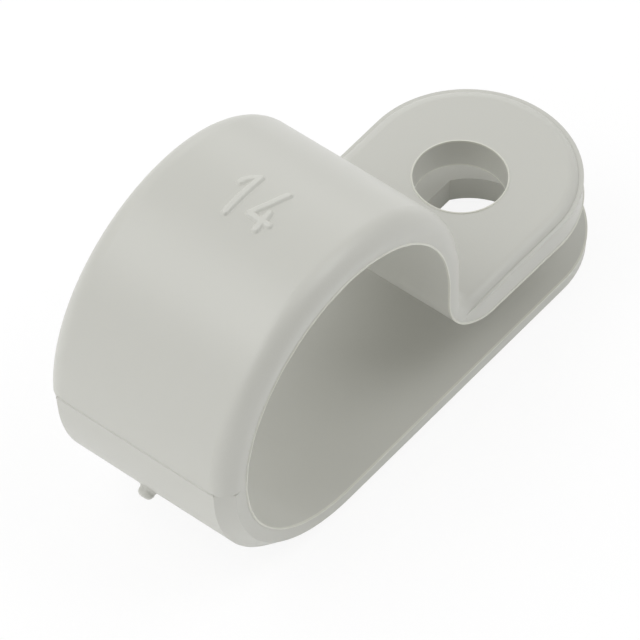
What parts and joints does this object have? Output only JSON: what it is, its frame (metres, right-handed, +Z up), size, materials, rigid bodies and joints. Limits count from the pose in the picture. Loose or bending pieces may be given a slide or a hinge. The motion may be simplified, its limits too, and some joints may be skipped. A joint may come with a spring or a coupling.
{
  "type": "p clip",
  "caption": "One-piece moulded P clip: a flat foot, an open cable loop and an upper tab, clamped by one screw through both ends.",
  "frame": {"origin": "where the screw's axis meets the mounting face, on the underside of the foot", "axes": "+X from the loop towards the tab's end, +Y along the cable, +Z up from the mounting face"},
  "size_m": [0.0342, 0.012, 0.0196],
  "materials": {
    "clip": "light grey moulded polyamide, satin-matt, edges slightly translucent"
  },
  "bodies": {
    "root": {"clip": "clip"}
  },
  "joints": []
}
